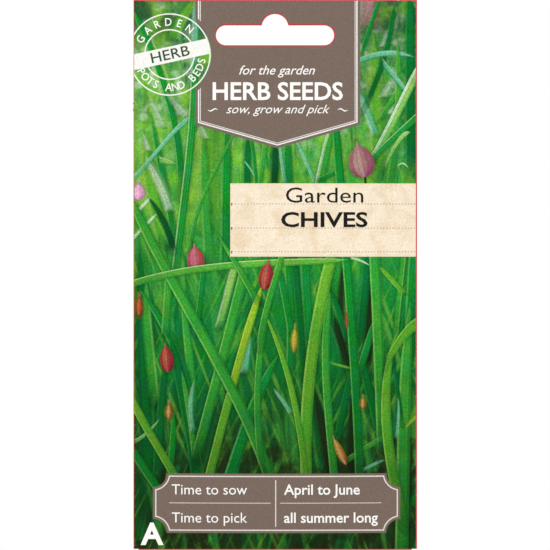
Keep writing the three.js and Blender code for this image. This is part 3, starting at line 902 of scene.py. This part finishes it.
# ---- The printed front: plaques, label, stamp and cutting line ----
# Over the picture lie two flat brown plaques with fine white borders, a strip of old cream paper with
# dotted rules, a round white stamp crossed by a band, and the thin red line the sheet was cut along.
BROWN = ink(121, 104, 94)
WHITE = ink(244, 243, 238)
DULL_WHITE = ink(226, 220, 212)
BARE_STOCK = ink(240, 238, 230)
STAMP_X, STAMP_HEIGHT = -30.7, 144.1
STAMP_OUTER, STAMP_INNER = 11.8, 7.2
BAND_HALF = 2.25
PLAQUE_X, PLAQUE_HALF_WIDTH, PLAQUE_POINT = 0.8, 24.0, 116.8
CALENDAR_X, CALENDAR_HEIGHT = 0.45, 13.7
LABEL_LEFT, LABEL_MIDDLE, LABEL_HALF_HEIGHT = -13.0, 95.95, 10.65


def paint(share, colour):
    global picture
    picture = blend(share, picture, colour)


def away(value, centre):
    return calc("ABSOLUTE", less(value, centre))


def distance(aside, upward):
    return calc("SQRT", times_plus(aside, aside, times(upward, upward)))


def reach_to(centre_x, centre_height):
    aside = less(across, centre_x)
    return distance(aside, less(height, centre_height))


def both_of(*shares):
    share = shares[0]
    for other in shares[1:]:
        share = lesser(share, other)
    return share


# The header plaque, notched to a point below and bitten by the stamp.
from_stamp = reach_to(STAMP_X, STAMP_HEIGHT)
point_line = times_plus(away(across, 0.7), 0.288, PLAQUE_POINT)
inset = both_of(less(PLAQUE_HALF_WIDTH, away(across, PLAQUE_X)), less(height, point_line))
clear = fade(from_stamp, STAMP_OUTER + 0.3, STAMP_OUTER + 0.5)
paint(both_of(fade(inset, -0.1, 0.1), clear), BROWN)
clear = fade(from_stamp, STAMP_OUTER + 1.4, STAMP_OUTER + 1.6)
paint(both_of(between(inset, 0.8, 1.14, 0.07), clear), WHITE)
hatch = calc("SINE", times(calc("ADD", across, height), 9.0))
paint(both_of(between(inset, 1.1, 1.5, 0.05), clear, fade(hatch, -0.4, 0.9, 0.0, 0.25)), WHITE)
paint(both_of(between(inset, 1.44, 1.6, 0.06), clear, fade(inset, -1, 0)), WHITE)

# The calendar plaque, its corners scooped out.
half_wide, half_high, scoop = 35.95, 8.7, 4.07
corner_x = less(away(across, CALENDAR_X), half_wide)
corner_h = less(away(height, CALENDAR_HEIGHT), half_high)
from_corner = less(distance(corner_x, corner_h), scoop)
edge = both_of(times(corner_x, -1.0), times(corner_h, -1.0), from_corner)
paint(fade(edge, -0.1, 0.1), BROWN)
paint(between(edge, 0.67, 1.02, 0.06), DULL_WHITE)
divider = both_of(between(across, 0.05, 0.35, 0.06), between(height, 6.9, 20.5, 0.1))
paint(divider, DULL_WHITE)
sides = greater(between(across, -30.7, -1.3, 0.1), between(across, 1.5, 30.9, 0.1))
paint(both_of(between(height, 13.68, 13.9, 0.06), sides), ink(214, 206, 197))

# The cream paper strip.
right_of_edge = fade(across, LABEL_LEFT - 0.05, LABEL_LEFT + 0.05)
on_strip = both_of(
    right_of_edge, between(height, LABEL_MIDDLE - LABEL_HALF_HEIGHT, LABEL_MIDDLE + LABEL_HALF_HEIGHT, 0.05)
)
stains = clouds(where, 0.13, 4, 0.62, 0.6)
cream = blend(fade(stains, 0.42, 0.72), ink(244, 229, 205), ink(232, 209, 176))
creases = clouds(where, 0.5, 5, 0.7, 1.5)
cream = blend(fade(creases, 0.58, 0.72, 0, 0.55), cream, ink(222, 198, 160))
strip_edge = both_of(less(across, LABEL_LEFT), less(LABEL_HALF_HEIGHT, away(height, LABEL_MIDDLE)))
cream = blend(fade(strip_edge, 1.1, 0.0, 0, 0.5), cream, ink(236, 216, 186))
paint(on_strip, cream)
dots = calc("SINE", times(across, 7.0))
for rule in (100.6, 93.6, 86.7):
    dotted = both_of(between(height, rule - 0.1, rule + 0.1, 0.06), fade(dots, -0.2, 0.5, 0, 0.75), on_strip)
    paint(dotted, ink(128, 104, 82))
    at_edge = between(across, LABEL_LEFT + 0.25, LABEL_LEFT + 0.55, 0.08)
    tick = both_of(between(height, rule - 0.5, rule + 0.3, 0.1), at_edge)
    paint(tick, ink(110, 84, 62))

# The stamp's rings and band.
for ring in (STAMP_OUTER, STAMP_INNER):
    paint(between(from_stamp, ring - 0.18, ring + 0.18, 0.07), WHITE)
tilt = math.radians(12.3)
rise = times(less(height, STAMP_HEIGHT), math.cos(tilt))
across_band = less(rise, times(less(across, STAMP_X), math.sin(tilt)))
within_ring = fade(from_stamp, STAMP_OUTER + 0.15, STAMP_OUTER)
paint(both_of(between(across_band, -BAND_HALF, BAND_HALF, 0.07), within_ring), WHITE)

# The cutting line, round the sheet and round the hang slot.
slot_bar_x = greater(less(away(across, 0.0), (SLOT_WIDTH - SLOT_BAR) / 2), 0.0)
bar_height = -BOTTOM + SLOT_LOBE_DROP - SLOT_LOBE - SLOT_BAR / 2
slot_bar_h = less(height, bar_height)
off_bar = less(distance(slot_bar_x, slot_bar_h), SLOT_BAR / 2)
off_slot = both_of(off_bar, less(reach_to(0.0, -BOTTOM - SLOT_LOBE), SLOT_LOBE))
red_line = fade(off_slot, 0.34, 0.26)
border = both_of(less(HALF_WIDTH, away(across, 0.0)), height, less(HEIGHT, height))
red_line = greater(red_line, fade(border, 0.32, 0.24))
paint(red_line, ink(206, 30, 46))


# ---- The printed front: the coated paper ----
# The coated side is calendered to a silky shine, with a faint mottle where the ink sank in unevenly. Handling
# has rubbed the ink along the folded edges and left the white stock showing in specks.
mottle = clouds(where, 2.6, 2, 0.7)
grainy = node_for("ShaderNodeHueSaturation", picture)
feed(picture, grainy.inputs["Color"])
feed(fade(mottle, 0.25, 0.75, 0.86, 1.12), grainy.inputs["Value"])
picture = grainy.outputs[0]
rub = clouds(where, 1.1, 4, 0.75)
rubbed = both_of(fade(border, 0.7, 0.0, 0, 0.8), fade(rub, 0.65, 0.72))
paint(rubbed, BARE_STOCK)
paper_tooth(shader, where, 0.25)
gloss = clouds(where, 0.07, 3, 0.6)
surface(shader, picture, fade(gloss, 0.3, 0.7, 0.5, 0.66), 0.05)


# ---- The printed back ----
# The back carries the growing notes: a brown header band, a cream panel with ruled lines to write on and a
# strip of twelve squares for the months of the year, with the sowing months and picking months tinted.
back_print, shader, where, across, height = stock("back_print")
mottle = clouds(where, 0.2, 3, 0.6)
picture = blend(fade(mottle, 0.35, 0.7), ink(250, 243, 228), ink(243, 232, 210))
paint(fade(height, 129.6, 129.7), BROWN)
paint(between(height, 127.6, 128.4, 0.06), ink(84, 150, 52))
paint(between(height, 131.2, 131.6, 0.06), DULL_WHITE)
in_margins = fade(away(across, 0.0), 36.0, 35.9)
for rule in range(7):
    paint(both_of(between(height, 88.9 - 7 * rule, 89.1 - 7 * rule, 0.05), in_margins), ink(150, 132, 112))
strip_top, strip_middle, strip_low = 118.0, 112.0, 106.0
square_wide = 5.9
strip_half = 6 * square_wide
off_middle = fade(away(across, 0.0), strip_half + 0.05, strip_half - 0.05)
in_strip = both_of(between(height, strip_low, strip_top, 0.06), off_middle)
picking = between(across, 2 * square_wide, 5 * square_wide, 0.05)
paint(both_of(in_strip, picking, fade(height, strip_middle - 0.1, strip_middle)), ink(150, 196, 84))
sowing = between(across, -4 * square_wide, 3 * square_wide, 0.05)
paint(both_of(in_strip, sowing, fade(height, strip_middle + 0.1, strip_middle)), ink(214, 160, 172))
first = calc("MODULO", calc("ADD", across, 2 * strip_half), square_wide)
line_at = lesser(first, less(square_wide, first))
paint(both_of(in_strip, fade(line_at, 0.16, 0.08)), BROWN)
frame_line = lesser(away(height, strip_top), away(height, strip_low))
frame_line = lesser(frame_line, away(height, strip_middle))
beside_strip = fade(away(across, 0.0), strip_half + 0.1, strip_half)
paint(both_of(fade(frame_line, 0.16, 0.08), beside_strip), BROWN)
rub = clouds(where, 1.1, 4, 0.75)
near_fold = less(HALF_WIDTH, away(across, 0.0))
paint(both_of(fade(near_fold, 0.9, 0.0, 0, 0.9), fade(rub, 0.62, 0.68)), BARE_STOCK)
fibres = paper_tooth(shader, where, 0.3)
surface(shader, picture, fade(fibres, 0.3, 0.7, 0.5, 0.66), 0.15)

for material in (front_print, back_print, bare_paper):
    sheet_mesh.materials.append(material)
for face in sheet_mesh.polygons:
    outside_face = face.index < len(polygons)
    face.material_index = ("front", "back").index(printed_side[face.index]) if outside_face else 2


# ---- The lettering ----
# The words and numbers are printed solid, in thick opaque ink that stands a little proud of the paper. Every
# letter is a thin flat film laid on the sheet and following its swell.
sheet_form = BVHTree.FromPolygons(corners.tolist(), polygons)
FILM = 0.025
WELL_OFF = 20
SUNK = 0.4  # share of the film's height that goes down into the paper


# The flat shape of some words in the drawing's plane, grown bolder and leaned as asked, one unit per letter.
def letter_shapes(words, bold=0.0, lean=0.0):
    curve = bpy.data.curves.new("words", "FONT")
    curve.body = words
    curve.offset = bold
    curve.shear = lean
    curve.resolution_u = 3
    holder = bpy.data.objects.new("words", curve)
    shapes = bmesh.new()
    plain = bpy.data.meshes.new_from_object(holder)
    shapes.from_mesh(plain)
    bpy.data.objects.remove(holder)
    bpy.data.meshes.remove(plain)
    bmesh.ops.remove_doubles(shapes, verts=shapes.verts, dist=1e-5)
    return shapes


CAPITAL = max(v.co.y for v in letter_shapes("H").verts)

# Sets words on a line, from the left or about a middle, with capitals of a given height.
def set_words(words, x, line, capitals, bold=0.0, lean=0.0, centred=False, wide=1.0):
    shapes = letter_shapes(words, bold, lean)
    scale = capitals / CAPITAL
    xs = [v.co.x for v in shapes.verts]
    start = x - (max(xs) + min(xs)) / 2 * scale * wide if centred else x - min(xs) * scale * wide
    for v in shapes.verts:
        v.co.x = start + v.co.x * scale * wide
        v.co.y = line + v.co.y * scale
    return shapes


# Lays flat shapes on the sheet's front or back as closed films of ink.
def lay(name, material, pieces, facing=-1):
    whole = bmesh.new()
    for piece in pieces:
        loose = bpy.data.meshes.new("loose")
        piece.to_mesh(loose)
        whole.from_mesh(loose)
        bpy.data.meshes.remove(loose)
        piece.free()
    xs = [v.co.x for v in whole.verts]
    hs = [v.co.y for v in whole.verts]
    lines = [((x, 0, 0), (1, 0, 0)) for x in front_lines if min(xs) < x < max(xs)]
    lines += [((0, z - BOTTOM, 0), (0, 1, 0)) for z in wall_lines if min(hs) < z - BOTTOM < max(hs)]
    for point, across_line in lines:
        everything = whole.verts[:] + whole.edges[:] + whole.faces[:]
        bmesh.ops.bisect_plane(whole, geom=everything, dist=1e-4, plane_co=point, plane_no=across_line)
    bmesh.ops.triangulate(whole, faces=whole.faces[:])
    bmesh.ops.dissolve_degenerate(whole, dist=1e-4, edges=whole.edges[:])
    whole.normal_update()
    for face in whole.faces:
        if face.normal.z < 0:
            face.normal_flip()
    count = len(whole.verts)
    over, under = [], []
    for v in whole.verts:
        start = Vector((v.co.x, facing * WELL_OFF, v.co.y + BOTTOM)) * MM
        seat, lean = sheet_form.ray_cast(start, Vector((0, -facing, 0)))[:2]
        over.append(seat + lean * FILM * MM)
        under.append(seat - lean * SUNK * FILM * MM)
    whole.verts.index_update()
    tops = [[v.index for v in face.verts] for face in whole.faces]
    if facing > 0:
        tops = [top[::-1] for top in tops]
    film = bpy.data.meshes.new(name)
    film.from_pydata(over + under, [], closed(tops, count))
    film.materials.append(material)
    whole.free()
    laid = put(name, film)
    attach(laid, "root")


# Opaque printing ink: a flat colour, a little uneven where it was laid thin, and pitted by the paper.
def opaque_ink(name, thick, thin):
    material, shader, where = stock(name)[:3]
    cover = clouds(where, 2.2, 4, 0.7)
    colour = blend(fade(cover, 0.55, 0.75), thick, thin)
    paper_tooth(shader, where, 0.3)
    surface(shader, colour, fade(cover, 0.3, 0.7, 0.45, 0.6), 0.15)
    return material


white_ink = opaque_ink("white_ink", ink(248, 247, 243), ink(232, 229, 222))
black_ink = opaque_ink("black_ink", ink(14, 12, 12), ink(40, 36, 34))
green_ink = opaque_ink("green_ink", ink(52, 78, 52), ink(84, 108, 80))
brown_ink = opaque_ink("brown_ink", ink(96, 76, 66), ink(128, 108, 96))


# A little waved rule ending in a curl, such as closes a line of italics.
def flourish(start, stop, level):
    shape = bmesh.new()
    rows_of = []
    for t in np.linspace(0, 1, 15):
        x = start + (stop - start) * t
        y = level + 0.32 * math.sin(t * math.pi * 2)
        half = 0.04 + 0.17 * math.sin(t * math.pi)
        rows_of.append((shape.verts.new((x, y - half, 0)), shape.verts.new((x, y + half, 0))))
    for (a, b), (c, d) in zip(rows_of, rows_of[1:]):
        shape.faces.new((a, c, d, b) if stop > start else (c, a, b, d))
    return shape


lay("header_words", white_ink, (
    set_words("for the garden", 0.6, 138.3, 2.6, 0.004, 0.35, centred=True),
    set_words("HERB SEEDS", 0.8, 131.0, 4.9, 0.02, centred=True),
    set_words("sow, grow and pick", 0.9, 127.0, 2.5, 0.0, 0.4, centred=True, wide=1.03),
    flourish(-16.6, -19.6, 128.0),
    flourish(18.2, 21.2, 128.0),
))

# The stamp's letters stand round its ring, the upper words with their feet inward, the lower outward.
def turn_to(shape, x, upward, angle):
    matrix = Matrix.Translation((x, upward, 0)) @ Matrix.Rotation(angle, 4, "Z")
    bmesh.ops.transform(shape, matrix=matrix, verts=shape.verts)


ring_letters = []
letter_reach = (STAMP_OUTER + STAMP_INNER) / 2
for words, start, stop, outward in (("GARDEN", 152, 52, True), ("POTS AND BEDS", 211, 349, False)):
    for k, letter in enumerate(words):
        if letter == " ":
            continue
        angle = math.radians(start + (stop - start) * k / (len(words) - 1))
        shape = set_words(letter, 0, -1.1, 2.2, 0.008, centred=True, wide=0.9)
        turn = angle - math.pi / 2 if outward else angle + math.pi / 2
        x = STAMP_X + letter_reach * math.cos(angle)
        turn_to(shape, x, STAMP_HEIGHT + letter_reach * math.sin(angle), turn)
        ring_letters.append(shape)
lay("stamp_ring_letters", white_ink, ring_letters)
band_word = set_words("HERB", 0, -1.45, 2.9, 0.008, centred=True, wide=1.15)
turn_to(band_word, -30.5, 144.2, tilt)
lay("stamp_band_word", green_ink, [band_word])

lay("label_words", black_ink, (
    set_words("Garden", 14.4, 101.0, 4.35, centred=True, wide=1.2),
    set_words("CHIVES", 14.35, 94.0, 4.1, 0.022, centred=True, wide=1.3),
))
lay("calendar_words", white_ink, (
    set_words("Time to sow", -30.0, 16.3, 2.9),
    set_words("Time to pick", -30.0, 8.1, 2.9),
    set_words("April to June", 2.6, 16.3, 2.9, 0.014),
    set_words("all summer long", 2.6, 8.1, 2.9, 0.014),
))
lay("corner_letter", white_ink, [set_words("A", -35.75, 1.7, 6.0, 0.03, centred=True)])

# On the back, the heading and the months' numbers read the other way about.
back_words = [set_words("SOW AND PICK", 0, 133.6, 4.0, 0.02, centred=True)]
for month in range(12):
    middle = -strip_half + square_wide * (month + 0.5)
    back_words.append(set_words(str(month + 1), middle, 119.4, 2.2, centred=True))
for shape in back_words:
    bmesh.ops.transform(shape, matrix=Matrix.Scale(-1, 4, (1, 0, 0)), verts=shape.verts)
lay("back_heading", white_ink, back_words[:1], 1)
lay("month_numbers", brown_ink, back_words[1:], 1)


# ---- The glue ----
# White cold glue joins the header's two walls, the side seam and the foot flap. It dries to a thin, slightly
# milky skin, a little thicker where the nozzle's beads ran together.
dry_glue, shader, where = stock("dry_glue")[:3]
beads = clouds(where, 0.45, 3, 0.6)
milky = blend(fade(beads, 0.4, 0.65), ink(236, 232, 218), ink(216, 208, 186))
surface(shader, milky, fade(beads, 0.3, 0.7, 0.28, 0.5))
shader.inputs["Subsurface Weight"].default_value = 0.1
shader.inputs["Subsurface Scale"].default_value = 0.2 * MM
emboss(shader, beads, 0.4, 0.05)
for name in ("header_glue", "seam_glue", "bottom_flap_glue"):
    skin_of_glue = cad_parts[name]
    for place_for in skin_of_glue.material_slots:
        place_for.material = dry_glue


# ---- The inner sachet ----
# The seed lies in a small sachet of glassine, a thin see-through paper pressed smooth between hot rollers. It
# is one strip folded at its foot, its mouth turned over the front, and it keeps the fine creases of filling.
SACHET_FILM = 0.08
SACHET_FLAP = 16
SACHET_EDGE = 0.12
SACHET_FILL = 0.4
sachet_low = BOTTOM + SACHET_LIFT
sachet_high = sachet_low + SACHET_HEIGHT
flap_gap = SACHET_FILM + 0.12


def sachet_middle(x, z):
    return (0.5 - FRONT_SHARE) * belly(x, z)


def sachet_half(x, z):
    across = 1 - (x / SACHET_HALF_WIDTH) ** 4
    along = 1 - (2 * (z - sachet_low) / SACHET_HEIGHT - 1) ** 8
    return SACHET_EDGE + SACHET_FILL * belly(x, z) * across * along


def crease(x, z, side):
    fine = math.sin(x * 0.9 + z * 0.31 + side) * math.sin(x * 0.37 - z * 0.7)
    sharp = abs((x * 0.11 + z * 0.07 * side) % 1 - 0.5) + abs((x * 0.05 - z * 0.16) % 1 - 0.5)
    inner_share = max(0, 1 - (x / SACHET_HALF_WIDTH) ** 4)
    return inner_share * (0.02 * fine + 0.05 * sharp)


SACHET_COLUMNS = 41
SACHET_ROWS = 57
FLAP_ROWS = 12
FOLD_STEPS = 7
half_round = np.linspace(0, math.pi, FOLD_STEPS)[1:-1]
stations = [(z, 0, -1, 0, 0) for z in np.linspace(sachet_high, sachet_low, SACHET_ROWS)]
stations += [(sachet_low, turn, 0, -1, 0) for turn in half_round]
stations += [(z, 0, 1, 0, 0) for z in np.linspace(sachet_low, sachet_high, SACHET_ROWS)]
stations += [(sachet_high, turn, 0, 1, flap_gap) for turn in half_round[::-1]]
stations += [(z, 0, -1, 0, flap_gap) for z in np.linspace(sachet_high, sachet_high - SACHET_FLAP, FLAP_ROWS)]
film_points = []
for z, turn, side, out, gap in stations:
    for x in np.linspace(-SACHET_HALF_WIDTH, SACHET_HALF_WIDTH, SACHET_COLUMNS):
        half = sachet_half(x, z)
        if side:
            y = sachet_middle(x, z) + side * (half + gap - crease(x, z, side))
            film_points.append((x, y, z))
        else:
            radius = half + gap / 2
            y = sachet_middle(x, z) - gap / 2 - radius * math.cos(turn)
            film_points.append((x, y, z + out * radius * math.sin(turn)))
grid = np.array(film_points).reshape(len(stations), SACHET_COLUMNS, 3)
film_lean = np.cross(np.gradient(grid, axis=1), np.gradient(grid, axis=0))
film_lean *= SACHET_FILM / 2 / np.linalg.norm(film_lean, axis=2, keepdims=True)
two_sides = np.concatenate([grid + film_lean, grid - film_lean]).reshape(-1, 3)
film_faces = []
for row in range(len(stations) - 1):
    for a in range(row * SACHET_COLUMNS, (row + 1) * SACHET_COLUMNS - 1):
        film_faces.append([a, a + 1, a + SACHET_COLUMNS + 1, a + SACHET_COLUMNS])
sachet_mesh = bpy.data.meshes.new("glassine_sachet")
sachet_mesh.from_pydata((two_sides * MM).tolist(), [], closed(film_faces, len(film_points)))
for face in sachet_mesh.polygons:
    face.use_smooth = True
sachet_mesh.set_sharp_from_angle(angle=math.radians(50))
sachet = put("glassine_sachet", sachet_mesh)
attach(sachet, "root")
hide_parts("inner_sachet")

glassine, shader, where = stock("glassine")[:3]
pulp = clouds(where, 0.6, 5, 0.65)
creased = clouds(where, 0.35, 6, 0.75, 1.2)
waxy = blend(fade(pulp, 0.35, 0.7), ink(236, 230, 212), ink(219, 210, 186))
surface(shader, waxy, fade(pulp, 0.3, 0.7, 0.3, 0.42), 0.45)
shader.inputs["Transmission Weight"].default_value = 0.25
emboss(shader, creased, 0.5, 0.2)
sachet_mesh.materials.append(glassine)


# ---- The seeds ----
# Chive seeds are small black wedges, one side flat and one rounded, with a dry wrinkled coat. They have
# settled in the sachet's foot, side by side in a single layer.
seed_coat, shader, where = stock("seed_coat")[:3]
wrinkles = clouds(where, 3.0, 5, 0.7, 0.8)
dust = clouds(where, 0.9, 3, 0.6)
# The coat's colour follows the wrinkles' height: darker down in the grooves and lighter on the ridges, a
# painted shade in the grooves over the coat's own near-black.
coat = blend(fade(wrinkles, 0.35, 0.7), ink(24, 21, 20), ink(52, 46, 42))
coat = blend(fade(dust, 0.55, 0.75, 0, 0.5), coat, ink(92, 82, 72))
surface(shader, coat, fade(wrinkles, 0.3, 0.7, 0.45, 0.7))
emboss(shader, wrinkles, 0.8, 0.15)
chance = random.Random(7)
for name in sorted(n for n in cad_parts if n.startswith("seed_")):
    grain = bmesh.new()
    grain.from_mesh(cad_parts[name].data)
    bmesh.ops.remove_doubles(grain, verts=grain.verts, dist=1e-6)
    bmesh.ops.subdivide_edges(grain, edges=grain.edges[:], cuts=2, use_grid_fill=True, smooth=0.35)
    grain.normal_update()
    phase = chance.uniform(0, 6)
    for v in grain.verts:
        p = v.co / MM
        wrinkle = math.sin(5 * p.x + phase) * math.sin(6 * p.z - phase)
        wrinkle += 0.6 * math.sin(11 * p.x + 9 * p.z + phase)
        v.co -= v.normal * (0.05 + 0.03 * wrinkle) * MM
    seed_mesh = bpy.data.meshes.new("wrinkled_" + name)
    grain.to_mesh(seed_mesh)
    grain.free()
    for face in seed_mesh.polygons:
        face.use_smooth = True
    seed_mesh.materials.clear()
    seed_mesh.materials.append(seed_coat)
    seed = put("wrinkled_" + name, seed_mesh)
    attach(seed, "root")
    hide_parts(name)
